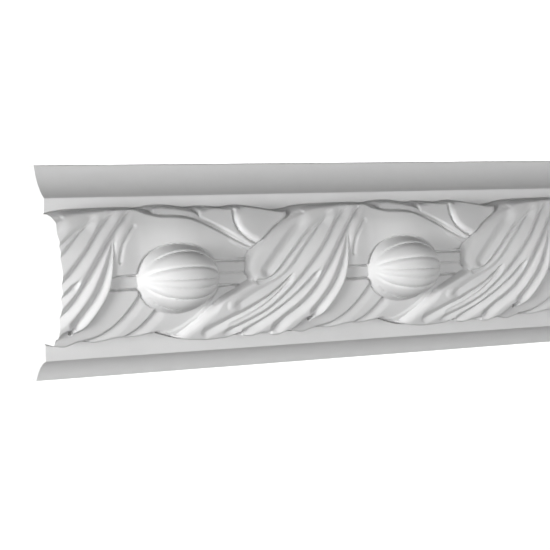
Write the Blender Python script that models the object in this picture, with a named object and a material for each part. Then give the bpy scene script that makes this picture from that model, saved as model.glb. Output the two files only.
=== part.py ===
"""A length of decorative wall moulding, moulded in one piece of rigid white foam.

Seen square on, from the top: a cove, a flat fascia, a swelling band carved with acanthus
leaves and ribbed beads, a second fascia and a second cove. A shallow channel runs along
the back, between the two flat pads that are glued to the wall.

The run is along X, the wall face of the moulding is the plane Y = 0, and the carving faces -Y.
The origin is on the wall face, halfway along, at the middle of the lower glue pad.
"""

import bmesh
import bpy
import numpy as np

# Heights of the mouldings, from the bottom edge up, in metres
LOW_COVE_HEIGHT = 0.0127
LOW_FASCIA_HEIGHT = 0.0083
BAND_HEIGHT = 0.0750
TOP_FASCIA_HEIGHT = 0.0063
TOP_COVE_HEIGHT = 0.0177

# How far each part stands out from the wall
EDGE_THICKNESS = 0.0092
FASCIA_THICKNESS = 0.0238
BAND_CREST = 0.0275  # in front of the fasciae
BAND_LIP = 0.0150  # where the band's surface meets its upper and lower ledge
BAND_MIDDLE = 0.48  # height of the crest, as a share of the band
BAND_ROUNDNESS = 2.2

# How far the arc of each cove sinks below its chord
TOP_COVE_SAG = 0.0023
LOW_COVE_SAG = 0.0019

# The channel along the back
CHANNEL_DEPTH = 0.0160
CHANNEL_MOUTH = 0.0430
CHANNEL_FLOOR = 0.0292
CHANNEL_MIDDLE = 0.0612  # above the bottom edge

# The carving repeats along the run
REPEAT = 0.150
LENGTH = 0.375

# The ribbed bead, and the rod that carries it
BEAD_LENGTH = 0.0466
BEAD_RADIUS = 0.0177
BEAD_SEAT = 0.0040  # its axis below the crest of the band
BEAD_FLANK = 0.96  # past this share of its radius it falls in a straight slope
BEAD_CREVICE = 0.0032
RIB_DEPTH = 0.0012
RIB_EDGES = (-110, -79, -36, -15, 3, 25, 60, 105)
ROD_SEAT = 0.0057
STRIP_SEAT = 0.0052

# The carving is drawn in millimetres on a tile of this size, then stretched to REPEAT and BAND_HEIGHT
TILE_WIDTH = 150.0
TILE_FOOT = 21.0
TILE_HEAD = 96.0
BEAD_X = 70.3
BEAD_Z = 57.4
ROD_FOOT = 52.6
ROD_HEAD = 59.6
STRIP_HEAD = 67.0
WALL_SLOPE = 3.5
BAND_EDGE = 1.0
POCKET_FLOOR = 0.5
MM = 0.001

# Fineness of the solid
STATION_STEP = 0.0015
BAND_ROWS = 56
COVE_STEPS = 6
TRIANGLES = 9400

HEIGHT = LOW_COVE_HEIGHT + LOW_FASCIA_HEIGHT + BAND_HEIGHT + TOP_FASCIA_HEIGHT + TOP_COVE_HEIGHT
BAND_FOOT = LOW_COVE_HEIGHT + LOW_FASCIA_HEIGHT
CHANNEL_FOOT = CHANNEL_MIDDLE - CHANNEL_MOUTH / 2
ORIGIN_HEIGHT = CHANNEL_FOOT / 2

# The wavy lines where the carving springs from the fasciae, as (x, z) on the tile
UPPER_LINE = [
    (60, 96.4), (67, 96.9), (75, 96.6), (84, 95.3), (93, 95.8), (107, 94.9), (113, 95.7), (120, 95.7),
    (130, 94.3), (141, 92.6), (148, 93.2), (156, 94.8), (170, 95.6), (195, 95.9), (204, 95.5),
]
LOWER_LINE = [
    (62, 27.2), (70, 24.2), (80, 21.6), (93, 20.8), (105, 21.8), (111.5, 23.8), (114, 22.2), (120, 21.5),
    (130.5, 23.6), (133, 21.8), (138, 21.3), (145, 23.5), (151, 22.2), (157, 21.5), (165, 24.4), (175, 22.9),
    (187, 25), (196, 24.6), (206, 26.1),
]

# The leaves, from the lowest to the highest: closed outlines, drawn long where another covers them
UNDER_LEAF_THREE = [
    (184, 10), (250, 10), (252, 52.2), (240, 52.2), (200, 52.2), (184, 52.2),
]
UNDER_LEAF_TWO = [
    (150, 10), (188, 14), (189, 23.4), (192.8, 25.2), (200, 30.3), (207, 39), (209, 46), (210, 52.2),
    (200, 52.2), (160, 52.2), (150, 50),
]
UNDER_LEAF_ONE = [
    (135, 10), (165.6, 14), (166.4, 23.7), (171.2, 24.6), (175.7, 26.3), (185, 33.4), (192, 41.5),
    (196.2, 49), (194.6, 52.1), (191, 52.2), (160, 52.2), (140, 50),
]
GROUND_LEAF = [
    (58, 24.6), (65, 26.6), (71.4, 27.8), (81.3, 34.1), (86.3, 38.7), (93.3, 47.4), (96.6, 51.8),
    (108, 52.2), (128, 52.2), (128, 15), (60, 15),
]
UPPER_SLIP_ONE = [
    (210, 94), (211.4, 95.8), (217.4, 96.4), (234.6, 93.8), (239, 91), (250, 85), (268, 77), (266, 72),
    (250, 78), (232, 86), (218, 90), (211, 92),
]
UPPER_SLIP_TWO = [
    (238.2, 90.6), (239.2, 94), (243.5, 95), (251, 97), (262, 98), (275, 80), (268, 73), (263, 76.4),
    (252.1, 83), (242.2, 88.2),
]
UPPER_SLIP_THREE = [
    (260, 92.1), (262, 94), (266.5, 96), (272, 99), (296, 99), (290, 80), (276, 72), (270, 75.8),
    (265.8, 77.8), (260.8, 82.8), (259.2, 88.4),
]
ARCH_LEAF = [
    (182, 99), (192, 99), (203, 94.2), (213.4, 91.8), (233, 89.6), (259.1, 76.9), (263.1, 75.1),
    (275, 72), (275, 66), (264, 65.6), (246, 65.6), (230, 62), (210, 61), (184, 59.9), (176, 59.9),
    (165, 60),
]
GREAT_LEAF = [
    (68.5, 23.8), (73, 25), (77, 28), (93.5, 42.2), (109.4, 51.6), (114.6, 54), (115, 55.6), (112.3, 60),
    (113.2, 66.4), (119, 74), (132, 83), (154, 93), (180, 96), (194, 98), (206, 100), (196, 97),
    (188, 91), (182.9, 82), (179, 59.8), (176.5, 49.8), (168.4, 36.6), (164.3, 32.2), (159.4, 29.8),
    (157.6, 30.9), (155.3, 31.2), (152.4, 29.4), (149, 25.6), (147.4, 23.2), (146, 12), (72, 14),
]
LOBE = [
    (98.4, 41.7), (98.5, 39.3), (100.3, 36.7), (106, 34.2), (111.4, 36.6), (123.8, 43.6), (138, 54.6),
    (144, 60), (138, 63), (128, 60), (118, 54.6), (111.3, 50), (100.4, 45),
]

# Creases between the pleats of the great leaf: the line on the tile from the top down, then for its top
# and its foot the depth, the half width of its left side and that of its right side, in millimetres
CREASES = [
    ([(177, 93.8), (170.7, 90.6), (152.5, 79), (140.8, 68.2), (131.5, 58.8), (126, 55.5), (121, 54.2),
      (115, 54.7)], (1.8, 2), (3.5, 1.2), (3.4, 3)),
    ([(175, 91.6), (169.4, 88.5), (160.4, 81.6), (148.7, 69.9), (142, 62), (133.7, 55.3), (117.6, 47.5),
      (103, 39.2)], (2.6, 1), (2.4, 4.2), (7, 4.4)),
    ([(144.6, 59.6), (131, 47.9), (123.8, 42.9), (111.4, 36), (105.4, 33.5), (86, 24)],
     (2.6, 2), (1.3, 4.6), (1.7, 5)),
    ([(142.5, 57), (139.2, 53), (128.8, 43.4), (121, 38), (109, 32), (101, 29)],
     (2, 0.9), (1.5, 2.4), (2.4, 4)),
    ([(191, 96.6), (181.3, 91.1), (173.5, 84.6), (163.1, 71.9), (145, 52), (126.8, 36.2), (104.5, 25.4),
      (99, 23.6)], (2.3, 2), (2.2, 3.4), (5.5, 4)),
    ([(160.6, 60.4), (156.2, 55.2), (141.3, 41.8), (126.1, 31.1), (116.8, 25.5), (112.4, 21.8)],
     (2.8, 2.8), (2.6, 3.6), (3.6, 5.5)),
    ([(200, 97), (191, 91.6), (182.2, 82.9), (172.5, 70.4), (158.2, 48.4), (149.8, 38.6), (140.4, 31.1),
      (131.6, 21)], (2, 3.4), (1.8, 5.4), (3.4, 6)),
    ([(182, 86), (179.7, 74.5), (174.8, 59.9), (170.5, 50.2), (164.2, 40.7), (156.6, 30.6)],
     (1.4, 3.6), (3.6, 5), (2.6, 5)),
    ([(197.5, 88.2), (192.7, 84.5), (187.3, 77.9), (184.7, 70.1), (184.3, 66)],
     (0.9, 1.2), (1.2, 1.5), (2.2, 2)),
    ([(196.4, 51), (194.7, 45.8), (185, 33.4), (175.7, 26.3), (166.4, 23.7)], (0.8, 1.8), (1, 1.4), (6, 7)),
    ([(208.4, 42), (207, 39), (200, 30.3), (192.8, 25.2), (189, 23.4)], (1.6, 1.8), (1.4, 1.4), (8, 6)),
]
HOLLOW = [(158, 91), (145, 80.3), (131.9, 67.5), (124.8, 59.5)]
HOLLOW_DEPTH = 2.2
HOLLOW_LEFT = 5.5
HOLLOW_RIGHT = 4.6


def smooth_step(value):
    """0 below 0, 1 above 1 and a soft S between."""
    t = np.clip(value, 0, 1)
    return t * t * (3 - 2 * t)


def curve_through(points, closed=False, steps=5):
    """A Catmull-Rom curve through the points, as a polyline."""
    p = np.array(points, float)
    if closed:
        p = np.vstack([p[-1], p, p[:2]])
    else:
        p = np.vstack([2 * p[0] - p[1], p, 2 * p[-1] - p[-2]])
    a, b, c, d = p[:-3, None], p[1:-2, None], p[2:-1, None], p[3:, None]
    t = (np.arange(steps) / steps)[None, :, None]
    inner = 0.5 * (2 * b + (c - a) * t + (2 * a - 5 * b + 4 * c - d) * t**2 + (3 * b - a - 3 * c + d) * t**3)
    line = inner.reshape(-1, 2)
    return np.vstack([line, line[:1] if closed else p[-2:-1]])


def distance_to(line, x, z):
    """Distance to the polyline, how far along it from 0 to 1, and the side, above zero on its right."""
    start, step = line[:-1], np.diff(line, axis=0)
    length = np.hypot(*step.T)
    along = np.concatenate([[0], np.cumsum(length)])
    away = np.stack([x[:, None] - start[:, 0], z[:, None] - start[:, 1]], -1)
    t = np.clip((away * step).sum(-1) / np.maximum(length, 1e-9) ** 2, 0, 1)
    gap = np.hypot(away[..., 0] - t * step[:, 0], away[..., 1] - t * step[:, 1])
    nearest = gap.argmin(1)
    row = np.arange(len(x))
    side = away[row, nearest, 0] * step[nearest, 1] - away[row, nearest, 1] * step[nearest, 0]
    return gap[row, nearest], (along[nearest] + t[row, nearest] * length[nearest]) / along[-1], side


def depth_inside(outline, x, z):
    """Distance of each (x, z) to the closed outline, above zero inside it."""
    gap, _, _ = distance_to(outline, x, z)
    x0, z0 = outline[:-1].T
    x1, z1 = outline[1:].T
    crosses = (z0 > z[:, None]) != (z1 > z[:, None])
    rise = np.where(z1 == z0, 1, z1 - z0)
    left = x[:, None] < x0 + (z[:, None] - z0) * (x1 - x0) / rise
    return np.where((crosses & left).sum(1) % 2, gap, -gap)


def wavy_line(points, x):
    """The height of a line that repeats with the tile."""
    px, pz = curve_through(points + [(points[0][0] + TILE_WIDTH, points[0][1])]).T
    return np.interp(x, px, pz, period=TILE_WIDTH)


def shifted(x, start):
    """x moved by whole tiles into the tile that begins at start."""
    return start + np.mod(x - start, TILE_WIDTH)


def swell(z):
    """The band's own rounded surface, in millimetres in front of the fasciae."""
    middle = TILE_FOOT + BAND_MIDDLE * (TILE_HEAD - TILE_FOOT)
    t = np.abs(z - middle) / ((TILE_HEAD - TILE_FOOT) / 2)
    return (BAND_CREST - (BAND_CREST - BAND_LIP) * t**BAND_ROUNDNESS) / MM


def rounded(distance, radius):
    """How far a rounded edge falls at this distance inside it."""
    return radius * (1 - np.sqrt(1 - (1 - np.clip(distance / radius, 0, 1)) ** 2))


def leaf(points, level, edge, x, z):
    """One leaf: the band's swell plus level, with a rounded edge and a steep wall at its outline."""
    inside = depth_inside(curve_through(points, closed=True), x, z)
    return swell(z) + level - rounded(inside, edge) - WALL_SLOPE * np.clip(-inside, 0, None)


def bar(low, high, level, edge, z):
    """A straight rib along the run between two heights."""
    inside = np.minimum(z - low, high - z)
    return swell(z) + level - rounded(inside, edge) - WALL_SLOPE * np.clip(-inside, 0, None)


def low_leaves(x, z):
    """The ground and the leaves that lie low."""
    right, far = shifted(x, 150), shifted(x, 200)
    slip = -2.0 - 1.8 * smooth_step((far - 264) / 26)
    return np.max([
        swell(z) - 7.8 - 11 * smooth_step((z - 89.5) / 3),
        leaf(UNDER_LEAF_THREE, -6.4, 1.0, right, z),
        leaf(UNDER_LEAF_TWO, -5.6, 1.2, right, z),
        leaf(UNDER_LEAF_ONE, -4.6, 1.2, shifted(x, 130), z),
        leaf(GROUND_LEAF, -5.5, 1.0, shifted(x, 50), z),
        leaf(UPPER_SLIP_ONE, -4.8, 1.0, far, z),
        leaf(UPPER_SLIP_TWO, -3.8, 1.8, far, z),
        leaf(UPPER_SLIP_THREE, slip, 4.2, far, z),
    ], axis=0)


def high_leaves(x, z):
    """The great leaf, the lobe at its left and the arch that it turns into."""
    body, right = shifted(x, 60), shifted(x, 160)
    arch = -0.9 - 1.4 * smooth_step((right - 184) / 14) + 1.5 * smooth_step((right - 202) / 22)
    arch = arch - 3.6 * smooth_step((right - 226) / 38) - 2.4 * smooth_step((88 - z) / 20)
    flank = 1.4 + 4.6 * smooth_step((45 - z) / 5) * smooth_step((100 - body) / 8)
    flank = flank + 3.6 * smooth_step((z - 54) / 4) * smooth_step((160 - body) / 20)
    return np.max([
        leaf(ARCH_LEAF, arch, 1.0, right, z),
        leaf(GREAT_LEAF, -0.8 - 0.4 * smooth_step((body - 165) / 20), flank, body, z),
        leaf(LOBE, 0.2 - 2.6 * smooth_step((body - 99) / 24), 4.2, body, z),
    ], axis=0)


def pleats(x, z):
    """How deep the creases and the hollow cut. Where two meet the deeper one counts."""
    cuts = []
    for points, depth, left, right in CREASES:
        gap, along, side = distance_to(curve_through(points), x, z)
        width = np.where(side > 0, np.interp(along, (0, 1), left), np.interp(along, (0, 1), right))
        fade = smooth_step(along / 0.12) * smooth_step((1 - along) / 0.06)
        cut = np.interp(along, (0, 1), depth) * fade
        cuts.append(cut * np.clip(1 - gap / (width * (0.4 + 0.6 * fade)), 0, 1) ** 1.3)
    gap, along, side = distance_to(curve_through(HOLLOW), x, z)
    half_width = np.where(side > 0, HOLLOW_LEFT, HOLLOW_RIGHT)
    cuts.append(HOLLOW_DEPTH * smooth_step(along / 0.3) * smooth_step(1 - gap / half_width))
    return np.max(cuts, axis=0)


def rods(x, z):
    """The rod that carries the beads, and the strip above it on its right."""
    strip = bar(ROD_HEAD - 0.4, STRIP_HEAD, -STRIP_SEAT / MM, 0.5, z)
    strip = np.where(shifted(x, 155) > 236, strip, 0)
    return np.maximum(bar(ROD_FOOT, ROD_HEAD, -ROD_SEAT / MM, 0.4, z), strip)


def dome(reach):
    """Half a circle's height, carried on past BEAD_FLANK in a straight slope."""
    edge = np.sqrt(1 - BEAD_FLANK**2)
    inner = np.sqrt(1 - np.minimum(reach, BEAD_FLANK) ** 2)
    return np.where(reach < BEAD_FLANK, inner, edge - (reach - BEAD_FLANK) * BEAD_FLANK / edge)


def bead(x, z):
    """Height of the ribbed bead, and how deep the crevice round it cuts."""
    radius = BEAD_RADIUS / MM
    across, up = (x - BEAD_X) / (BEAD_LENGTH / 2 / MM), (z - BEAD_Z) / radius
    reach = np.hypot(across, up)
    girth = np.sqrt(np.clip(1 - across**2, 0, 1))
    angle = np.degrees(np.arcsin(np.clip(up / np.maximum(girth, 1e-6), -1, 1)))
    edges = np.array(RIB_EDGES)
    next_edge = np.clip(np.searchsorted(edges, angle), 1, len(edges) - 1)
    lower, upper = edges[next_edge - 1], edges[next_edge]
    share = 2 * np.minimum(angle - lower, upper - angle) / (upper - lower)
    cut = RIB_DEPTH / MM * (1 - np.sqrt(1 - (1 - share) ** 2)) * girth
    crevice = BEAD_CREVICE / MM * np.clip(1 - np.abs(reach - 1.05) * radius / 1.5, 0, 1)
    return (BAND_CREST - BEAD_SEAT) / MM + radius * dome(reach) - cut, crevice


def carving(x, z):
    """Height of the carving in front of the fasciae, in millimetres, at points on the tile."""
    carved = np.maximum(low_leaves(x, z), high_leaves(x, z)) - pleats(shifted(x, 68), z)
    shell, crevice = bead(shifted(x, 0), z)
    return np.max([carved - crevice, rods(x, z), shell], axis=0)


def band_surface(x, share):
    """(height above the bottom edge, height in front of the fascia) of the band, share from foot to head."""
    head = wavy_line(UPPER_LINE, shifted(x, 60))
    foot = wavy_line(LOWER_LINE, shifted(x, 62))
    z = foot + (head - foot) * share
    high = carving(x, z) - rounded(head - z, BAND_EDGE) - rounded(z - foot, BAND_EDGE)
    high = np.maximum(high, POCKET_FLOOR)
    return BAND_FOOT + (z - TILE_FOOT) / (TILE_HEAD - TILE_FOOT) * BAND_HEIGHT, high * MM


def arc(start, end, sag, steps):
    """Points from start to end on an arc that sinks by sag on the left of the chord."""
    start, end = np.array(start), np.array(end)
    chord = end - start
    length = np.hypot(*chord)
    radius = sag / 2 + length**2 / (8 * sag)
    half = np.arcsin(length / 2 / radius)
    normal = np.array([-chord[1], chord[0]]) / length
    middle = (start + end) / 2 - normal * (radius - sag)
    angles = np.linspace(-half, half, steps + 1)
    return [middle + radius * (np.sin(a) * chord / length + np.cos(a) * normal) for a in angles]


def section_top():
    """(y, z) from the top edge at the wall, over the top cove, to the upper fascia."""
    edge = (-EDGE_THICKNESS, HEIGHT)
    corner = (-FASCIA_THICKNESS, HEIGHT - TOP_COVE_HEIGHT)
    return [(0, HEIGHT)] + [tuple(p) for p in arc(edge, corner, TOP_COVE_SAG, COVE_STEPS)]


def section_bottom():
    """(y, z) from the lower fascia, over the low cove and the bottom edge, up the back and its channel."""
    corner = (-FASCIA_THICKNESS, LOW_COVE_HEIGHT)
    edge = (-EDGE_THICKNESS, 0)
    floor = CHANNEL_FLOOR / 2
    return [tuple(p) for p in arc(corner, edge, LOW_COVE_SAG, COVE_STEPS)] + [
        (0, 0),
        (0, CHANNEL_FOOT),
        (-CHANNEL_DEPTH, CHANNEL_MIDDLE - floor),
        (-CHANNEL_DEPTH, CHANNEL_MIDDLE + floor),
        (0, CHANNEL_FOOT + CHANNEL_MOUTH),
        (0, HEIGHT),
    ]


def strip_points(stations):
    """An array [station, point round the section, xyz] of the whole strip."""
    top, bottom = section_top(), section_bottom()
    shares = np.linspace(1, 0, BAND_ROWS)
    run, share = np.meshgrid(stations, shares, indexing="ij")
    tile_x = run.ravel() / REPEAT * TILE_WIDTH
    z, high = band_surface(tile_x, share.ravel())
    z, high = z.reshape(run.shape), high.reshape(run.shape)
    count = len(top) + 2 + BAND_ROWS + len(bottom)
    points = np.zeros((len(stations), count, 3))
    points[..., 0] = stations[:, None] - LENGTH / 2
    first = len(top) + 1
    last = first + BAND_ROWS
    points[:, : len(top), 1:] = top
    points[:, first - 1, 1] = points[:, last, 1] = -FASCIA_THICKNESS
    points[:, first - 1, 2] = z[:, 0]
    points[:, first:last, 1] = -FASCIA_THICKNESS - high
    points[:, first:last, 2] = z
    points[:, last, 2] = z[:, -1]
    points[:, last + 1 :, 1:] = bottom
    points[..., 2] -= ORIGIN_HEIGHT
    return points


def build_strip(collection):
    """The moulding as one closed solid: a grid rolled round the section, its ends filled."""
    stations = np.linspace(0, LENGTH, round(LENGTH / STATION_STEP) + 1)
    points = strip_points(stations)
    runs, rounds = points.shape[0] - 1, points.shape[1] - 1
    bm = bmesh.new()
    bmesh.ops.create_grid(bm, x_segments=runs, y_segments=rounds, size=0.5)
    for vertex in bm.verts:
        i = round((vertex.co.x + 0.5) * runs)
        j = round((vertex.co.y + 0.5) * rounds)
        vertex.co = points[i, j]
    bmesh.ops.remove_doubles(bm, verts=bm.verts, dist=1e-7)
    bmesh.ops.holes_fill(bm, edges=[e for e in bm.edges if e.is_boundary], sides=0)
    bmesh.ops.recalc_face_normals(bm, faces=bm.faces)
    triangles = sum(len(face.verts) - 2 for face in bm.faces)
    mesh = bpy.data.meshes.new("carved_moulding")
    bm.to_mesh(mesh)
    bm.free()
    strip = bpy.data.objects.new("carved_moulding", mesh)
    collection.objects.link(strip)
    thin = strip.modifiers.new("Thin out", "DECIMATE")
    thin.ratio = min(1.0, TRIANGLES / triangles)
    return strip


def white_foam():
    """Primed white rigid foam."""
    material = bpy.data.materials.new("primed_white_foam")
    material.use_nodes = True
    shader = material.node_tree.nodes["Principled BSDF"]
    shader.inputs["Base Color"].default_value = (0.67, 0.67, 0.67, 1)
    shader.inputs["Roughness"].default_value = 0.55
    shader.inputs["Metallic"].default_value = 0.0
    return material


def main():
    for old in list(bpy.data.objects):
        bpy.data.objects.remove(old)
    collection = bpy.data.collections.new("Decorative moulding")
    bpy.context.scene.collection.children.link(collection)
    strip = build_strip(collection)
    strip.data.materials.append(white_foam())
    strip.data.shade_smooth()
    strip.data.set_sharp_from_angle(angle=np.radians(35))


main()
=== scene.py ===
"""A length of carved foam wall moulding, dressed for its picture. Metres, +Z up, the wall at Y = 0."""

import math

import bmesh
import bpy
import numpy as np
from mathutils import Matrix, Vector


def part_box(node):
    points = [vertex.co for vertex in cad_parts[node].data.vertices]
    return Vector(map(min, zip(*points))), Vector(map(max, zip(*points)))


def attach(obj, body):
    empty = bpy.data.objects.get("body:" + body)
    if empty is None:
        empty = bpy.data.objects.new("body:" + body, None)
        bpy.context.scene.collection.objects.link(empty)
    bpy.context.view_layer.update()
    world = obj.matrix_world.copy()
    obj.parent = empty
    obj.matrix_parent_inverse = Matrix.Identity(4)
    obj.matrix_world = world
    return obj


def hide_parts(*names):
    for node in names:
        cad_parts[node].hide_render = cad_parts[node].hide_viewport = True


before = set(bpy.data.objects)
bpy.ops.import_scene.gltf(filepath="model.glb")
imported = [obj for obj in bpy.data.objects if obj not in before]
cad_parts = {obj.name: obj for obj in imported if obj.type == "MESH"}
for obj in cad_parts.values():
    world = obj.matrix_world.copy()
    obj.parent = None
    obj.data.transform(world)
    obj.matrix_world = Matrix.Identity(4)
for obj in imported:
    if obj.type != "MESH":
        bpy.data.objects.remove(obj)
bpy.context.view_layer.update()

# The run
# The moulding is sold by the length and cut square with a mitre saw. This one is two and a half
# repeats of the carving long. Its size comes from the frame, and heights count from its bottom edge.
low, high = (np.array(corner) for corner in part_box("carved_moulding"))
LENGTH = high[0] - low[0]
HEIGHT = high[2] - low[2]
BOTTOM = low[2]
LEFT_END = low[0]
REPEATS = 2.5
REPEAT = LENGTH / REPEATS
MM = 0.001

# The plain mouldings and the back
# One piece with the carving, cast in the same mould: a cove and a fascia above the band, a fascia and
# a cove below, and behind them two flat glue pads with a channel between. Paint softens each corner.
EDGE_THICKNESS = 9.2 * MM
FASCIA_THICKNESS = 23.8 * MM
TOP_COVE_HEIGHT = 17.7 * MM
LOW_COVE_HEIGHT = 12.7 * MM
TOP_COVE_SAG = 2.3 * MM
LOW_COVE_SAG = 1.9 * MM
COVE_STEPS = 12
CHANNEL_DEPTH = 16.0 * MM
CHANNEL_MOUTH = 43.0 * MM
CHANNEL_FLOOR = 29.2 * MM
CHANNEL_MIDDLE = 61.2 * MM
PAINTED_CORNER = 0.5 * MM


def cove(start, end, sag):
    """Points (y, z) from start to end on an arc that sinks by sag on the left of its chord."""
    start, end = np.array(start), np.array(end)
    chord = end - start
    length = np.hypot(*chord)
    radius = sag / 2 + length**2 / (8 * sag)
    half = np.arcsin(length / 2 / radius)
    normal = np.array([-chord[1], chord[0]]) / length
    middle = (start + end) / 2 - normal * (radius - sag)
    angles = np.linspace(-half, half, COVE_STEPS + 1)
    return [middle + radius * (np.sin(a) * chord / length + np.cos(a) * normal) for a in angles]


def softened(before, corner, after):
    """Three points in place of a corner, which round it off between its neighbours."""
    before, corner, after = (np.array(p, float) for p in (before, corner, after))
    back = corner + PAINTED_CORNER * (before - corner) / np.hypot(*(before - corner))
    on = corner + PAINTED_CORNER * (after - corner) / np.hypot(*(after - corner))
    return [back, (back + on) / 4 + corner / 2, on]


def upper_section():
    """(y, z) from the wall over the top edge and the top cove onto the upper fascia."""
    edge = (-EDGE_THICKNESS, HEIGHT)
    corner = (-FASCIA_THICKNESS, HEIGHT - TOP_COVE_HEIGHT)
    curve = cove(edge, corner, TOP_COVE_SAG)
    start = [(0, HEIGHT)] + softened((0, HEIGHT), edge, curve[1])
    return start + curve[1:-1] + softened(curve[-2], corner, (-FASCIA_THICKNESS, 0))


def lower_section():
    """(y, z) from the lower fascia over the low cove and the bottom edge, then up the back to the top."""
    corner = (-FASCIA_THICKNESS, LOW_COVE_HEIGHT)
    edge = (-EDGE_THICKNESS, 0)
    curve = cove(corner, edge, LOW_COVE_SAG)
    start = softened((-FASCIA_THICKNESS, HEIGHT), corner, curve[1])
    back = [
        (0, 0),
        (0, CHANNEL_MIDDLE - CHANNEL_MOUTH / 2),
        (-CHANNEL_DEPTH, CHANNEL_MIDDLE - CHANNEL_FLOOR / 2),
        (-CHANNEL_DEPTH, CHANNEL_MIDDLE + CHANNEL_FLOOR / 2),
        (0, CHANNEL_MIDDLE + CHANNEL_MOUTH / 2),
        (0, HEIGHT),
    ]
    return start + curve[1:-1] + softened(curve[-2], edge, (0, 0)) + back


# The carved band
# Acanthus leaves that lean along the run, with a ribbed bead on a rod between each pair. The master
# was carved by hand and the foam takes it from a rubber mould, so every repeat is the same. It is
# drawn on a tile in millimetres: x along the run, z up from the bottom edge.
TILE = 150.0
BAND_FOOT = 21.0
BAND_MIDDLE = 57.0
BAND_HEAD = 96.0
# How far the band stands in front of the fasciae along its middle and along both sides
BAND_CREST = 27.5
BAND_LIP = 15.0
BAND_ROUNDNESS = 2.2
CURVE_STEPS = 6
# Where the carving springs from the two fasciae
UPPER_LINE = [
    (60, 96.4), (67, 96.9), (75, 96.6), (84, 95.3), (93, 95.8), (107, 94.9), (113, 95.7), (120, 95.7),
    (130, 94.3), (141, 92.6), (148, 93.2), (156, 94.8), (170, 95.6), (195, 95.9), (204, 95.5),
]
LOWER_LINE = [
    (62, 27.2), (70, 24.2), (80, 21.6), (93, 20.8), (105, 21.8), (111.5, 23.8), (114, 22.2), (120, 21.5),
    (130.5, 23.6), (133, 21.8), (138, 21.3), (145, 23.5), (151, 22.2), (157, 21.5), (165, 24.4), (175, 22.9),
    (187, 25), (196, 24.6), (206, 26.1),
]


def curve_through(points, closed=False):
    """A Catmull-Rom curve through the points, as a polyline."""
    p = np.array(points, float)
    if closed:
        p = np.vstack([p[-1], p, p[:2]])
    else:
        p = np.vstack([2 * p[0] - p[1], p, 2 * p[-1] - p[-2]])
    a, b, c, d = p[:-3, None], p[1:-2, None], p[2:-1, None], p[3:, None]
    t = (np.arange(CURVE_STEPS) / CURVE_STEPS)[None, :, None]
    inner = 0.5 * (2 * b + (c - a) * t + (2 * a - 5 * b + 4 * c - d) * t**2 + (3 * b - a - 3 * c + d) * t**3)
    line = inner.reshape(-1, 2)
    return np.vstack([line, line[:1] if closed else p[-2:-1]])


def wavy_line(points, x):
    """The height of a line that repeats with the tile."""
    px, pz = curve_through(points + [(points[0][0] + TILE, points[0][1])]).T
    return np.interp(x, px, pz, period=TILE)


def swell(z):
    """The band's own rounded surface, in front of the fasciae."""
    t = np.abs(z - BAND_MIDDLE) / ((BAND_HEAD - BAND_FOOT) / 2)
    return BAND_CREST - (BAND_CREST - BAND_LIP) * t**BAND_ROUNDNESS


# The ground and the leaves that lie low
# What the great leaf and its arch lie over. Each leaf is a flat plate, a few millimetres below the
# band's swell, with a rounded edge and a steep side. Its outline is drawn long where another covers it.
GROUND_LEVEL = -7.8
# Under the upper fascia the ground sinks: the height where that starts, where it ends, and how far
GROUND_DROP = (89.5, 92.5, -11)
# A leaf's side falls this far for each millimetre outward
SIDE_SLOPE = 3.5
UNDER_LEAF_THREE = [
    (184, 10), (250, 10), (252, 52.2), (240, 52.2), (200, 52.2), (184, 52.2),
]
UNDER_LEAF_TWO = [
    (150, 10), (188, 14), (189, 23.4), (192.8, 25.2), (200, 30.3), (207, 39), (209, 46), (210, 52.2),
    (200, 52.2), (160, 52.2), (150, 50),
]
UNDER_LEAF_ONE = [
    (135, 10), (165.6, 14), (166.4, 23.7), (171.2, 24.6), (175.7, 26.3), (185, 33.4), (192, 41.5),
    (196.2, 49), (194.6, 52.1), (191, 52.2), (160, 52.2), (140, 50),
]
GROUND_LEAF = [
    (58, 24.6), (65, 26.6), (71.4, 27.8), (81.3, 34.1), (86.3, 38.7), (93.3, 47.4), (96.6, 51.8),
    (108, 52.2), (128, 52.2), (128, 15), (60, 15),
]
UPPER_SLIP_ONE = [
    (210, 94), (211.4, 95.8), (217.4, 96.4), (234.6, 93.8), (239, 91), (250, 85), (268, 77), (266, 72),
    (250, 78), (232, 86), (218, 90), (211, 92),
]
UPPER_SLIP_TWO = [
    (238.2, 90.6), (239.2, 94), (243.5, 95), (251, 97), (262, 98), (275, 80), (268, 73), (263, 76.4),
    (252.1, 83), (242.2, 88.2),
]
UPPER_SLIP_THREE = [
    (260, 92.1), (262, 94), (266.5, 96), (272, 99), (296, 99), (290, 80), (276, 72), (270, 75.8),
    (265.8, 77.8), (260.8, 82.8), (259.2, 88.4),
]
NO_TILT = (0, 1, 0)
# Each has its outline, its level against the band's swell, its tilt along the run (from, to and by how
# much), the radius of its edge, and where the tile that it is drawn on starts.
LOW_LEAVES = [
    (UNDER_LEAF_THREE, -6.4, NO_TILT, 1.0, 150),
    (UNDER_LEAF_TWO, -5.6, NO_TILT, 1.2, 150),
    (UNDER_LEAF_ONE, -4.6, NO_TILT, 1.2, 130),
    (GROUND_LEAF, -5.5, NO_TILT, 1.0, 50),
    (UPPER_SLIP_ONE, -4.8, NO_TILT, 1.0, 200),
    (UPPER_SLIP_TWO, -3.8, NO_TILT, 1.8, 200),
    (UPPER_SLIP_THREE, -2.0, (264, 290, -1.8), 4.2, 200),
]


def smooth_step(value):
    """0 below 0, 1 above 1 and a soft S between."""
    t = np.clip(value, 0, 1)
    return t * t * (3 - 2 * t)


def eased(value, start, end, change):
    """A change that comes in softly as value goes from start to end."""
    return change * smooth_step((value - start) / (end - start))


def shifted(x, start):
    """x moved by whole tiles into the tile that begins at start."""
    return start + np.mod(x - start, TILE)


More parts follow.
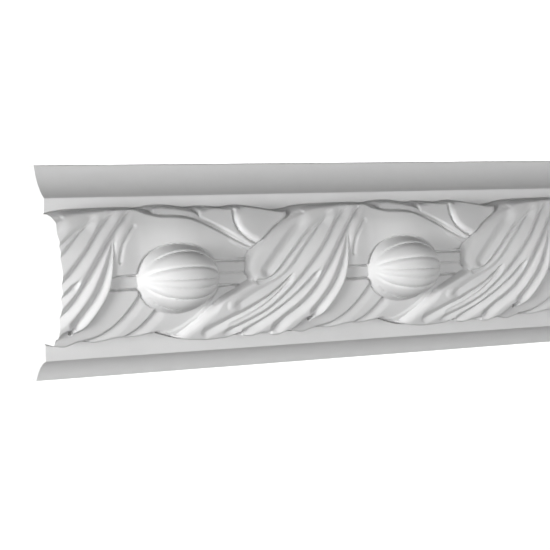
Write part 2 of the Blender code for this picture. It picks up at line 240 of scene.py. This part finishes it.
def distance_to(line, x, z):
    """Distance to the polyline, how far along it from 0 to 1, and the side, above zero on its right."""
    start, step = line[:-1], np.diff(line, axis=0)
    length = np.hypot(*step.T)
    along = np.concatenate([[0], np.cumsum(length)])
    away = np.stack([x[:, None] - start[:, 0], z[:, None] - start[:, 1]], -1)
    t = np.clip((away * step).sum(-1) / np.maximum(length, 1e-9) ** 2, 0, 1)
    gap = np.hypot(away[..., 0] - t * step[:, 0], away[..., 1] - t * step[:, 1])
    nearest = gap.argmin(1)
    row = np.arange(len(x))
    side = away[row, nearest, 0] * step[nearest, 1] - away[row, nearest, 1] * step[nearest, 0]
    return gap[row, nearest], (along[nearest] + t[row, nearest] * length[nearest]) / along[-1], side


def depth_inside(outline, x, z):
    """Distance of each (x, z) to the closed outline, above zero inside it."""
    gap, _, _ = distance_to(outline, x, z)
    x0, z0 = outline[:-1].T
    x1, z1 = outline[1:].T
    crosses = (z0 > z[:, None]) != (z1 > z[:, None])
    rise = np.where(z1 == z0, 1, z1 - z0)
    left = x[:, None] < x0 + (z[:, None] - z0) * (x1 - x0) / rise
    return np.where((crosses & left).sum(1) % 2, gap, -gap)


def rounded(distance, radius):
    """How far a rounded edge falls at this distance inside it."""
    return radius * (1 - np.sqrt(1 - (1 - np.clip(distance / radius, 0, 1)) ** 2))


def leaf(points, level, edge, x, z):
    """One leaf: the band's swell plus level, with a rounded edge and a steep wall at its outline."""
    inside = depth_inside(curve_through(points, closed=True), x, z)
    return swell(z) + level - rounded(inside, edge) - SIDE_SLOPE * np.clip(-inside, 0, None)


def low_leaves(x, z):
    """The ground and the leaves that the great leaf and the arch lie over."""
    heights = [swell(z) + GROUND_LEVEL + eased(z, *GROUND_DROP)]
    for outline, level, tilt, edge, start in LOW_LEAVES:
        along = shifted(x, start)
        heights.append(leaf(outline, level + eased(along, *tilt), edge, along, z))
    return np.max(heights, axis=0)


# The rod and the strip
# A plain rod lies on the ground and joins bead to bead. On the right of each bead a strip of about the
# same width lies against its upper side, as far as the great leaf. Both are cast in one with the rest.
ROD_FOOT = 52.6
ROD_HEAD = 59.6
ROD_LEVEL = -5.7
ROD_EDGE = 0.4
STRIP_FOOT = 59.2
STRIP_HEAD = 67.0
STRIP_LEVEL = -5.2
STRIP_EDGE = 0.5
# Where the strip starts and ends along the run, on the tile that ends where it does
STRIP_START = 236
STRIP_END = 305


def bar(low, high, level, edge, z):
    """A straight rib along the run between two heights."""
    inside = np.minimum(z - low, high - z)
    return swell(z) + level - rounded(inside, edge) - SIDE_SLOPE * np.clip(-inside, 0, None)


def rods(x, z):
    """The rod between the beads, and the strip above it."""
    rod = bar(ROD_FOOT, ROD_HEAD, ROD_LEVEL, ROD_EDGE, z)
    strip = bar(STRIP_FOOT, STRIP_HEAD, STRIP_LEVEL, STRIP_EDGE, z)
    return np.maximum(rod, np.where(shifted(x, STRIP_END - TILE) > STRIP_START, strip, 0))


# The great leaf
# It curls down from the upper fascia in long pleats, with a lobe folded over at its left, and turns
# into the arch over the bead. Its edge is rounded most at the tip and at the round shoulder above it.
GREAT_LEAF = [
    (68.5, 23.8), (73, 25), (77, 28), (93.5, 42.2), (109.4, 51.6), (114.6, 54), (115, 55.6), (112.3, 60),
    (113.2, 66.4), (119, 74), (132, 83), (154, 93), (180, 96), (194, 98), (206, 100), (196, 97),
    (188, 91), (182.9, 82), (179, 59.8), (176.5, 49.8), (168.4, 36.6), (164.3, 32.2), (159.4, 29.8),
    (157.6, 30.9), (155.3, 31.2), (152.4, 29.4), (149, 25.6), (147.4, 23.2), (146, 12), (72, 14),
]
LOBE = [
    (98.4, 41.7), (98.5, 39.3), (100.3, 36.7), (106, 34.2), (111.4, 36.6), (123.8, 43.6), (138, 54.6),
    (144, 60), (138, 63), (128, 60), (118, 54.6), (111.3, 50), (100.4, 45),
]
ARCH_LEAF = [
    (182, 99), (192, 99), (203, 94.2), (213.4, 91.8), (233, 89.6), (259.1, 76.9), (263.1, 75.1),
    (275, 72), (275, 66), (264, 65.6), (246, 65.6), (230, 62), (210, 61), (184, 59.9), (176, 59.9),
    (165, 60),
]
LEAF_START = 60
ARCH_START = 160
# Levels against the band's swell, and slopes along the run or up it: from, to and by how much
ARCH_LEVEL = -0.9
ARCH_SLOPES = [(184, 198, -1.4), (202, 224, 1.5), (226, 264, -3.6)]
ARCH_DROP = (88, 68, -2.4)
ARCH_EDGE = 1.0
LEAF_LEVEL = -0.8
LEAF_TILT = (165, 185, -0.4)
LEAF_EDGE = 1.4
# How much wider the leaf's edge is rounded at its tip and its shoulder: by height, then along the run
TIP_ROUNDING = ((45, 40, 4.6), (100, 92, 1))
SHOULDER_ROUNDING = ((54, 58, 3.6), (160, 140, 1))
LOBE_LEVEL = 0.2
LOBE_TILT = (99, 123, -2.6)
LOBE_EDGE = 4.2
# Creases between the pleats. Each has the line of its bottom from the top down, then as pairs for the top
# and the foot its depth, the half width of its left side and that of its right side.
CREASES = [
    ([(177, 93.8), (170.7, 90.6), (152.5, 79), (140.8, 68.2), (131.5, 58.8), (126, 55.5), (121, 54.2),
      (115, 54.7)], (1.8, 2), (3.5, 1.2), (3.4, 3)),
    ([(175, 91.6), (169.4, 88.5), (160.4, 81.6), (148.7, 69.9), (142, 62), (133.7, 55.3), (117.6, 47.5),
      (103, 39.2)], (2.6, 1), (2.4, 4.2), (7, 4.4)),
    ([(144.6, 59.6), (131, 47.9), (123.8, 42.9), (111.4, 36), (105.4, 33.5), (86, 24)],
     (2.6, 2), (1.3, 4.6), (1.7, 5)),
    ([(142.5, 57), (139.2, 53), (128.8, 43.4), (121, 38), (109, 32), (101, 29)],
     (2, 0.9), (1.5, 2.4), (2.4, 4)),
    ([(191, 96.6), (181.3, 91.1), (173.5, 84.6), (163.1, 71.9), (145, 52), (126.8, 36.2), (104.5, 25.4),
      (99, 23.6)], (2.3, 2), (2.2, 3.4), (5.5, 4)),
    ([(160.6, 60.4), (156.2, 55.2), (141.3, 41.8), (126.1, 31.1), (116.8, 25.5), (112.4, 21.8)],
     (2.8, 2.8), (2.6, 3.6), (3.6, 5.5)),
    ([(200, 97), (191, 91.6), (182.2, 82.9), (172.5, 70.4), (158.2, 48.4), (149.8, 38.6), (140.4, 31.1),
      (131.6, 21)], (2, 3.4), (1.8, 5.4), (3.4, 6)),
    ([(182, 86), (179.7, 74.5), (174.8, 59.9), (170.5, 50.2), (164.2, 40.7), (156.6, 30.6)],
     (1.4, 3.6), (3.6, 5), (2.6, 5)),
    ([(197.5, 88.2), (192.7, 84.5), (187.3, 77.9), (184.7, 70.1), (184.3, 66)],
     (0.9, 1.2), (1.2, 1.5), (2.2, 2)),
    ([(196.4, 51), (194.7, 45.8), (185, 33.4), (175.7, 26.3), (166.4, 23.7)], (0.8, 1.8), (1, 1.4), (6, 7)),
    ([(208.4, 42), (207, 39), (200, 30.3), (192.8, 25.2), (189, 23.4)], (1.6, 1.8), (1.4, 1.4), (8, 6)),
]
CREASES_START = 68
CREASE_DEPTH = 1.12
CREASE_SHARPNESS = 1.3
# Creases fade over these shares of their length, down to this share of their width
FADE_IN = 0.12
FADE_OUT = 0.06
END_WIDTH = 0.4
# The long hollow in the middle of the round shoulder
HOLLOW = [(158, 91), (145, 80.3), (131.9, 67.5), (124.8, 59.5)]
HOLLOW_DEPTH = 2.6
HOLLOW_LEFT = 5.5
HOLLOW_RIGHT = 4.6
HOLLOW_FADE_IN = 0.3
# Thin crevices along the outlines that stand free. Each has its line, its depth and its half width.
CREVICES = [
    ([(154, 92.4), (144.8, 89.2), (138.2, 86), (131.7, 82.3), (126.4, 78.5), (121.4, 75), (116.8, 70.9),
      (113.8, 66.5), (112.6, 61.8), (112.9, 59.2), (114.1, 57.2), (116.3, 54.8)], 2.2, 1.2),
    ([(116.3, 54.4), (109.4, 51.3), (103.6, 48.3), (99.5, 46.2), (93.5, 42)], 2.0, 1.3),
    ([(110.4, 94), (109.1, 88.4), (110.7, 82.8), (115.5, 78), (120, 76)], 1.6, 1.1),
    ([(53.1, 94.3), (59.8, 92.5), (63.4, 91.9), (70.2, 91.8), (76.7, 91.2), (83, 89.7), (88.1, 87.5),
      (93.2, 85.2), (98.4, 82.7), (104.3, 79.6), (109.1, 77), (115.1, 74.3), (120, 74)], 1.0, 0.9),
    ([(181, 59.9), (188, 59.9), (196.5, 59.9)], 1.3, 0.9),
    ([(179, 52.4), (188, 52.4), (197.5, 52.4)], 1.3, 0.9),
    ([(90, 66.2), (100, 66.2), (113, 66.2)], 2.0, 1.0),
    ([(93, 59.3), (100, 59.3), (112, 59.3)], 1.0, 0.8),
    ([(92, 52.3), (100, 52.3), (108, 52.3)], 1.6, 0.9),
]
CREVICES_START = 50
# Small pits where the tips of two leaves part
PITS = [(157.9, 30.1), (168.6, 23.4), (192, 24), (113.4, 22.7), (132.4, 22.2), (147.6, 23.2)]
PIT_DEPTH = 6.0
PIT_WIDTH = 1.5
PIT_FLAT = 0.2


def pleats(x, z):
    """How deep the creases and the hollow cut. Where two meet the deeper one counts."""
    x = shifted(x, CREASES_START)
    cuts = []
    for points, depth, left, right in CREASES:
        gap, along, side = distance_to(curve_through(points), x, z)
        width = np.where(side > 0, np.interp(along, (0, 1), left), np.interp(along, (0, 1), right))
        fade = smooth_step(along / FADE_IN) * smooth_step((1 - along) / FADE_OUT)
        width = width * (END_WIDTH + (1 - END_WIDTH) * fade)
        cut = CREASE_DEPTH * np.interp(along, (0, 1), depth) * fade
        cuts.append(cut * np.clip(1 - gap / width, 0, 1) ** CREASE_SHARPNESS)
    gap, along, side = distance_to(curve_through(HOLLOW), x, z)
    half_width = np.where(side > 0, HOLLOW_LEFT, HOLLOW_RIGHT)
    cuts.append(HOLLOW_DEPTH * smooth_step(along / HOLLOW_FADE_IN) * smooth_step(1 - gap / half_width))
    return np.max(cuts, axis=0)


def crevices(x, z):
    """How deep the thin crevices and the small pits cut."""
    x = shifted(x, CREVICES_START)
    to_pit = np.min([np.hypot(x - px, z - pz) for px, pz in PITS], axis=0)
    cuts = [PIT_DEPTH * smooth_step(1 + PIT_FLAT - to_pit / PIT_WIDTH)]
    for points, depth, half_width in CREVICES:
        gap, _, _ = distance_to(curve_through(points), x, z)
        cuts.append(depth * np.clip(1 - gap / half_width, 0, 1))
    return np.max(cuts, axis=0)


def high_leaves(x, z):
    """The great leaf, the lobe at its left and the arch that it turns into."""
    body, right = shifted(x, LEAF_START), shifted(x, ARCH_START)
    arch_level = ARCH_LEVEL + sum(eased(right, *slope) for slope in ARCH_SLOPES) + eased(z, *ARCH_DROP)
    edge = LEAF_EDGE
    for by_height, along_run in (TIP_ROUNDING, SHOULDER_ROUNDING):
        edge = edge + eased(z, *by_height) * eased(body, *along_run)
    return np.max([
        leaf(ARCH_LEAF, arch_level, ARCH_EDGE, right, z),
        leaf(GREAT_LEAF, LEAF_LEVEL + eased(body, *LEAF_TILT), edge, body, z),
        leaf(LOBE, LOBE_LEVEL + eased(body, *LOBE_TILT), LOBE_EDGE, body, z),
    ], axis=0)


# The beads
# Each is a long ball, cast in one with the rod and ribbed from pole to pole, and sits in a crevice
# that was cut round it in the master.
BEAD_X = 70.3
BEAD_Z = 57.4
BEAD_HALF_LENGTH = 23.3
BEAD_RADIUS = 17.7
BEAD_AXIS = 23.5
FULL_DOME = 0.96
# Where one rib meets the next, in degrees round the bead from its middle line
RIB_EDGES = np.array([-110, -79, -36, -15, 3, 25, 60, 105])
# A rib falls from its crown to its sides by this for each degree of its half width
RIB_FALL = 0.05
GROOVE_DEPTH = 0.7
GROOVE_WIDTH = 1.0
# The grooves are shallower towards the outline by this share, and widen there to no more than this slope
OUTER_EASING = 0.65
STEEPEST = 0.45
# The crevice lies this many radii from the bead's middle
CREVICE_REACH = 1.05
CREVICE_DEPTH = 3.2
CREVICE_WIDTH = 1.5


def dome(reach):
    """Half a circle's height, carried on past FULL_DOME in a straight slope."""
    edge = math.sqrt(1 - FULL_DOME**2)
    return np.where(
        reach < FULL_DOME,
        np.sqrt(1 - np.minimum(reach, FULL_DOME) ** 2),
        edge - (reach - FULL_DOME) * FULL_DOME / edge,
    )


def bead(x, z):
    """Height of the ribbed bead, and how deep the crevice round it cuts."""
    across, up = (x - BEAD_X) / BEAD_HALF_LENGTH, (z - BEAD_Z) / BEAD_RADIUS
    reach = np.sqrt(across**2 + up**2)
    girth = np.sqrt(np.clip(1 - across**2, 0, 1))
    angle = np.degrees(np.arcsin(np.clip(up / np.maximum(girth, 1e-6), -1, 1)))
    next_edge = np.clip(np.searchsorted(RIB_EDGES, angle), 1, len(RIB_EDGES) - 1)
    lower, upper = RIB_EDGES[next_edge - 1], RIB_EDGES[next_edge]
    half = (upper - lower) / 2
    nearest = np.minimum(angle - lower, upper - angle) / half
    steep = np.clip(dome(reach), STEEPEST, 1)
    to_groove = np.radians(nearest * half) * girth * BEAD_RADIUS * steep
    groove = GROOVE_DEPTH * (1 - OUTER_EASING * up**2) * np.clip(1 - to_groove / GROOVE_WIDTH, 0, 1)
    fall = RIB_FALL * half * rounded(nearest, 1)
    cut = (fall * girth + groove * np.sqrt(girth)) / steep
    to_crevice = np.abs(reach - CREVICE_REACH) * BEAD_RADIUS
    crevice = CREVICE_DEPTH * np.clip(1 - to_crevice / CREVICE_WIDTH, 0, 1)
    return BEAD_AXIS + BEAD_RADIUS * dome(reach) - cut, crevice


# One repeat in the mould
# The carved band with the mouldings above and below it. Its section is set out again and again along
# the run, a little over half a millimetre apart, and both sides stay open for the next repeat.
COLUMN_STEP = 0.625
BAND_ROWS = 119
BAND_EDGE = 0.9
# No pocket of the carving is deeper than this, measured from the fasciae
POCKET_FLOOR = -1.2
# A narrow cut runs along each fascia where the band begins
CUT_IN_DEPTH = 1.6
CUT_IN_WIDTH = 0.8


def band(x, share):
    """(z, height in front of the fascia) of the band's surface, share running from its foot to its head."""
    foot, head = wavy_line(LOWER_LINE, x), wavy_line(UPPER_LINE, x)
    z = foot + (head - foot) * share
    carved = np.maximum(low_leaves(x, z), high_leaves(x, z)) - pleats(x, z)
    shell, crevice = bead(x, z)
    carved = np.maximum(carved - crevice, rods(x, z)) - crevices(x, z)
    front = np.maximum(carved, shell)
    front = front - rounded(head - z, BAND_EDGE) - rounded(z - foot, BAND_EDGE)
    return z, np.maximum(front, POCKET_FLOOR)


def repeat_mesh():
    """The mesh of one repeat, from x = 0 to REPEAT, with its bottom edge at z = 0."""
    above, below = upper_section(), lower_section()
    columns = round(TILE / COLUMN_STEP)
    x, share = np.meshgrid(np.linspace(0, TILE, columns + 1), np.linspace(1, 0, BAND_ROWS), indexing="ij")
    z, front = (grid.reshape(x.shape) for grid in band(x.ravel(), share.ravel()))
    head, foot = z[:, :1], z[:, -1:]
    z = np.hstack([head + CUT_IN_WIDTH, head, z, foot, foot - CUT_IN_WIDTH])
    front = np.pad(front, ((0, 0), (1, 1)), constant_values=-CUT_IN_DEPTH)
    front = np.pad(front, ((0, 0), (1, 1)))
    first, last = len(above), len(above) + front.shape[1]
    points = np.zeros((columns + 1, last + len(below), 3))
    points[..., 0] = np.linspace(0, REPEAT, columns + 1)[:, None]
    points[:, :first, 1:] = above
    points[:, first:last, 1] = -FASCIA_THICKNESS - front * MM
    points[:, first:last, 2] = z * MM
    points[:, last:, 1:] = below
    number = np.arange(points.shape[0] * points.shape[1]).reshape(points.shape[:2])
    quads = np.stack([number[:-1, :-1], number[1:, :-1], number[1:, 1:], number[:-1, 1:]], -1)
    mesh = bpy.data.meshes.new("one_repeat")
    mesh.from_pydata(points.reshape(-1, 3), [], quads.reshape(-1, 4))
    return mesh


# The repeats set end to end
# A Geometry Nodes tree sets whole repeats along the run, joins them where they meet, and saws the last
# one off at the run's length.
JOIN_WITHIN = 0.01 * MM


def add_node(tree, kind, links=(), **values):
    """A node with its settings, and links to its inputs from (node, output)."""
    node = tree.nodes.new(kind)
    for key, value in values.items():
        if key in node.inputs:
            node.inputs[key].default_value = value
        else:
            setattr(node, key, value)
    for key, (source, output) in dict(links).items():
        tree.links.new(source.outputs[output], node.inputs[key])
    return node


def repeats_tree(material):
    """A node group that turns one repeat into a run of them, cut to length."""
    tree = bpy.data.node_groups.new("Repeats end to end", "GeometryNodeTree")
    for name, kind in (("Repeat", "Geometry"), ("Pitch", "Float"), ("Run", "Float")):
        tree.interface.new_socket(name, in_out="INPUT", socket_type="NodeSocket" + kind)
    tree.interface.new_socket("Geometry", in_out="OUTPUT", socket_type="NodeSocketGeometry")
    given = add_node(tree, "NodeGroupInput")
    step = add_node(tree, "ShaderNodeCombineXYZ", {"X": (given, "Pitch")})
    share = add_node(tree, "ShaderNodeMath", {0: (given, "Run"), 1: (given, "Pitch")}, operation="DIVIDE")
    count = add_node(tree, "ShaderNodeMath", {0: (share, 0)}, operation="CEIL")
    line = add_node(tree, "GeometryNodeMeshLine", {"Count": (count, 0), "Offset": (step, 0)})
    copies = {"Points": (line, 0), "Instance": (given, "Repeat")}
    placed = add_node(tree, "GeometryNodeInstanceOnPoints", copies)
    real = add_node(tree, "GeometryNodeRealizeInstances", {"Geometry": (placed, 0)})
    joined = add_node(tree, "GeometryNodeMergeByDistance", {"Geometry": (real, 0)}, Distance=JOIN_WITHIN)
    place = add_node(tree, "GeometryNodeInputPosition")
    along = add_node(tree, "ShaderNodeSeparateXYZ", {0: (place, 0)})
    past_end = {0: (along, "X"), 1: (given, "Run")}
    beyond = add_node(tree, "FunctionNodeCompare", past_end, operation="GREATER_THAN")
    waste = {"Geometry": (joined, 0), "Selection": (beyond, 0)}
    sawn = add_node(tree, "GeometryNodeDeleteGeometry", waste, domain="FACE")
    coated = add_node(tree, "GeometryNodeSetMaterial", {"Geometry": (sawn, 0)}, Material=material)
    add_node(tree, "NodeGroupOutput", {"Geometry": (coated, 0)})
    return tree


# The finish
# Rigid polyurethane foam comes from the mould with a dense skin, which is primed at the factory: a
# matte, even white with the faint tooth of sprayed primer. The sawn ends show the foam's fine cells.
PRIMER_WHITE = "#D6D6D6"
PRIMER_SHADE = "#D0D0D0"
FOAM_WHITE = "#F4F3F0"
PRIMER_IOR = 1.46
PRIMER_ROUGHNESS = 0.55
ROUGHNESS_SPREAD = 0.05
# The real tooth is finer than a tenth of a millimetre and wouldn't show, so it is drawn coarser
PRIMER_TOOTH = 0.35 * MM
TOOTH_DEPTH = 0.02 * MM
TOOTH_STRENGTH = 0.25
SPRAY_CLOUD = 12 * MM
FOAM_ROUGHNESS = 0.9
FOAM_CELL = 0.5 * MM
CELL_DEPTH = 0.08 * MM
CELL_STRENGTH = 0.4


def linear(hex_colour):
    """An sRGB hex colour as linear red, green, blue and alpha."""
    values = [int(hex_colour[i : i + 2], 16) / 255 for i in (1, 3, 5)]
    return [v / 12.92 if v <= 0.04045 else ((v + 0.055) / 1.055) ** 2.4 for v in values] + [1]


def new_material(name):
    """A material, its node tree and its Principled shader."""
    material = bpy.data.materials.new(name)
    material.use_nodes = True
    return material, material.node_tree, material.node_tree.nodes["Principled BSDF"]


def sprayed_primer():
    """Factory primer on moulded foam: matte, with a fine tooth, and a trace thinner here and there."""
    material, tree, shader = new_material("moulded_foam_sprayed_primer")
    shader.inputs["IOR"].default_value = PRIMER_IOR
    place = add_node(tree, "ShaderNodeTexCoord")
    where = {"Vector": (place, "Object")}
    cloud = add_node(tree, "ShaderNodeTexNoise", where, Scale=1 / SPRAY_CLOUD, Detail=3)
    colour = add_node(tree, "ShaderNodeMix", {"Factor": (cloud, "Fac")}, data_type="RGBA")
    colour.inputs["A"].default_value = linear(PRIMER_WHITE)
    colour.inputs["B"].default_value = linear(PRIMER_SHADE)
    tree.links.new(colour.outputs["Result"], shader.inputs["Base Color"])
    gloss = add_node(tree, "ShaderNodeMapRange", {"Value": (cloud, "Fac")})
    gloss.inputs["To Min"].default_value = PRIMER_ROUGHNESS - ROUGHNESS_SPREAD
    gloss.inputs["To Max"].default_value = PRIMER_ROUGHNESS + ROUGHNESS_SPREAD
    tree.links.new(gloss.outputs["Result"], shader.inputs["Roughness"])
    grain = add_node(tree, "ShaderNodeTexNoise", where, Scale=1 / PRIMER_TOOTH, Detail=2)
    height = {"Height": (grain, "Fac")}
    bump = add_node(tree, "ShaderNodeBump", height, Strength=TOOTH_STRENGTH, Distance=TOOTH_DEPTH)
    tree.links.new(bump.outputs["Normal"], shader.inputs["Normal"])
    return material


def sawn_foam():
    """The raw foam at the sawn ends: chalk white and open-celled, with no sheen at all."""
    material, tree, shader = new_material("rigid_foam_sawn")
    shader.inputs["Base Color"].default_value = linear(FOAM_WHITE)
    shader.inputs["Roughness"].default_value = FOAM_ROUGHNESS
    place = add_node(tree, "ShaderNodeTexCoord")
    cells = add_node(tree, "ShaderNodeTexVoronoi", {"Vector": (place, "Object")}, Scale=1 / FOAM_CELL)
    height = {"Height": (cells, "Distance")}
    bump = add_node(tree, "ShaderNodeBump", height, Strength=CELL_STRENGTH, Distance=CELL_DEPTH)
    tree.links.new(bump.outputs["Normal"], shader.inputs["Normal"])
    return material


# The moulding itself
# The run of repeats, closed by its two sawn ends: one piece of rigid foam, glued to the wall by the two
# pads of its back. It stands in for the frame's plainer solid.
SMOOTH_UNDER = math.radians(38)


def placed_object(name, data):
    """An object with this data, in the scene."""
    thing = bpy.data.objects.new(name, data)
    bpy.context.scene.collection.objects.link(thing)
    return thing


primer, foam = sprayed_primer(), sawn_foam()
repeat = placed_object("repeat", repeat_mesh())
modifier = repeat.modifiers.new("Run", "NODES")
modifier.node_group = repeats_tree(primer)
sizes = {"Pitch": REPEAT, "Run": LENGTH}
for socket in modifier.node_group.interface.items_tree:
    if socket.name in sizes:
        modifier[socket.identifier] = float(sizes[socket.name])
evaluated = repeat.evaluated_get(bpy.context.evaluated_depsgraph_get())
run_mesh = bpy.data.meshes.new_from_object(evaluated)
repeat.modifiers.remove(modifier)
bpy.data.objects.remove(repeat)

bm = bmesh.new()
bm.from_mesh(run_mesh)
# The saw leaves both ends flat and bare
ends = bmesh.ops.holes_fill(bm, edges=[e for e in bm.edges if e.is_boundary], sides=0)["faces"]
for face in bm.faces:
    face.smooth = True
for face in ends:
    face.material_index = 1
bmesh.ops.triangulate(bm, faces=ends)
bmesh.ops.translate(bm, verts=bm.verts, vec=Vector((LEFT_END, 0, BOTTOM)))
bmesh.ops.recalc_face_normals(bm, faces=bm.faces)
bm.to_mesh(run_mesh)
bm.free()
run_mesh.materials.clear()
run_mesh.materials.append(primer)
run_mesh.materials.append(foam)
run_mesh.set_sharp_from_angle(angle=SMOOTH_UNDER)
run_mesh.name = "moulding"
moulding = placed_object("moulding", run_mesh)
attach(moulding, "root")
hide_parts("carved_moulding")

# The studio
# A wide pale floor well below the moulding, lit evenly by two soft lights above it, and white walls
# that fade towards a dark ceiling. A soft light at the left, level with the moulding, rakes along it.
FLOOR_WHITE = "#F4F4F4"
FLOOR_ROUGHNESS = 0.8
FLOOR_DROP = 1.2
FLOOR_SIZE = 30
WALL_LIGHT = 2.55
CEILING_LIGHT = 0.05
WALL_TOP = 0.05
CEILING_FROM = 0.33
KEY_PLACE = (-1.5, -0.57, -0.05)
KEY_TARGET = (0, 0, 0.04)
KEY_SIZE = 0.5
KEY_POWER = 3.4
KEY_SPREAD = math.radians(70)
BACK_PLACE = (3.0, 12.5, 2.0)
BACK_TARGET = (3.0, 12.5, 0)
BACK_POWER = 1700
FRONT_PLACE = (-3.0, -12.5, 2.0)
FRONT_TARGET = (-3.0, -12.5, 0)
FRONT_POWER = 700
FLOOR_LIGHT_SIZE = 20
FLOOR_LIGHT_SPREAD = math.radians(80)

bpy.context.scene.view_settings.view_transform = "Standard"
world = bpy.data.worlds.new("white_room")
bpy.context.scene.world = world
world.use_nodes = True
sky = world.node_tree
towards = add_node(sky, "ShaderNodeTexCoord")
height = add_node(sky, "ShaderNodeSeparateXYZ", {"Vector": (towards, "Generated")})
fade = add_node(sky, "ShaderNodeMapRange", {"Value": (height, "Z")})
fade.inputs["From Min"].default_value = WALL_TOP
fade.inputs["From Max"].default_value = CEILING_FROM
fade.inputs["To Min"].default_value = WALL_LIGHT
fade.inputs["To Max"].default_value = CEILING_LIGHT
sky.nodes["Background"].inputs["Color"].default_value = (1, 1, 1, 1)
sky.links.new(fade.outputs["Result"], sky.nodes["Background"].inputs["Strength"])

bm = bmesh.new()
bmesh.ops.create_grid(bm, x_segments=1, y_segments=1, size=FLOOR_SIZE / 2)
bmesh.ops.translate(bm, verts=bm.verts, vec=Vector((0, 0, BOTTOM - FLOOR_DROP)))
floor_mesh = bpy.data.meshes.new("floor")
bm.to_mesh(floor_mesh)
bm.free()
floor = placed_object("floor", floor_mesh)
painted, _, floor_shader = new_material("painted_studio_floor")
floor_shader.inputs["Base Color"].default_value = linear(FLOOR_WHITE)
floor_shader.inputs["Roughness"].default_value = FLOOR_ROUGHNESS
floor_mesh.materials.append(painted)


def soft_light(name, place, target, size, power, spread):
    """A square area light that faces its target."""
    light = bpy.data.lights.new(name, "AREA")
    light.size = size
    light.energy = power
    light.spread = spread
    lamp = placed_object(name, light)
    lamp.location = place
    lamp.rotation_euler = (Vector(target) - Vector(place)).to_track_quat("-Z", "Y").to_euler()


soft_light("key", KEY_PLACE, KEY_TARGET, KEY_SIZE, KEY_POWER, KEY_SPREAD)
for name, place, target, power in (
    ("back_floor_light", BACK_PLACE, BACK_TARGET, BACK_POWER),
    ("front_floor_light", FRONT_PLACE, FRONT_TARGET, FRONT_POWER),
):
    soft_light(name, place, target, FLOOR_LIGHT_SIZE, power, FLOOR_LIGHT_SPREAD)

# The camera
# A long lens from the front left, a little above the moulding, close to the sawn end.
CAMERA_PLACE = (-0.5186, -0.8677, 0.1160)
CAMERA_DOWN = math.radians(4.80)
CAMERA_TURN = math.radians(29.39)
CAMERA_LENS = 108
SENSOR_WIDTH = 36

camera_data = bpy.data.cameras.new("camera")
camera_data.lens = CAMERA_LENS
camera_data.sensor_width = SENSOR_WIDTH
camera = placed_object("camera", camera_data)
camera.location = CAMERA_PLACE
camera.rotation_euler = (math.radians(90) - CAMERA_DOWN, 0, -CAMERA_TURN)
bpy.context.scene.camera = camera
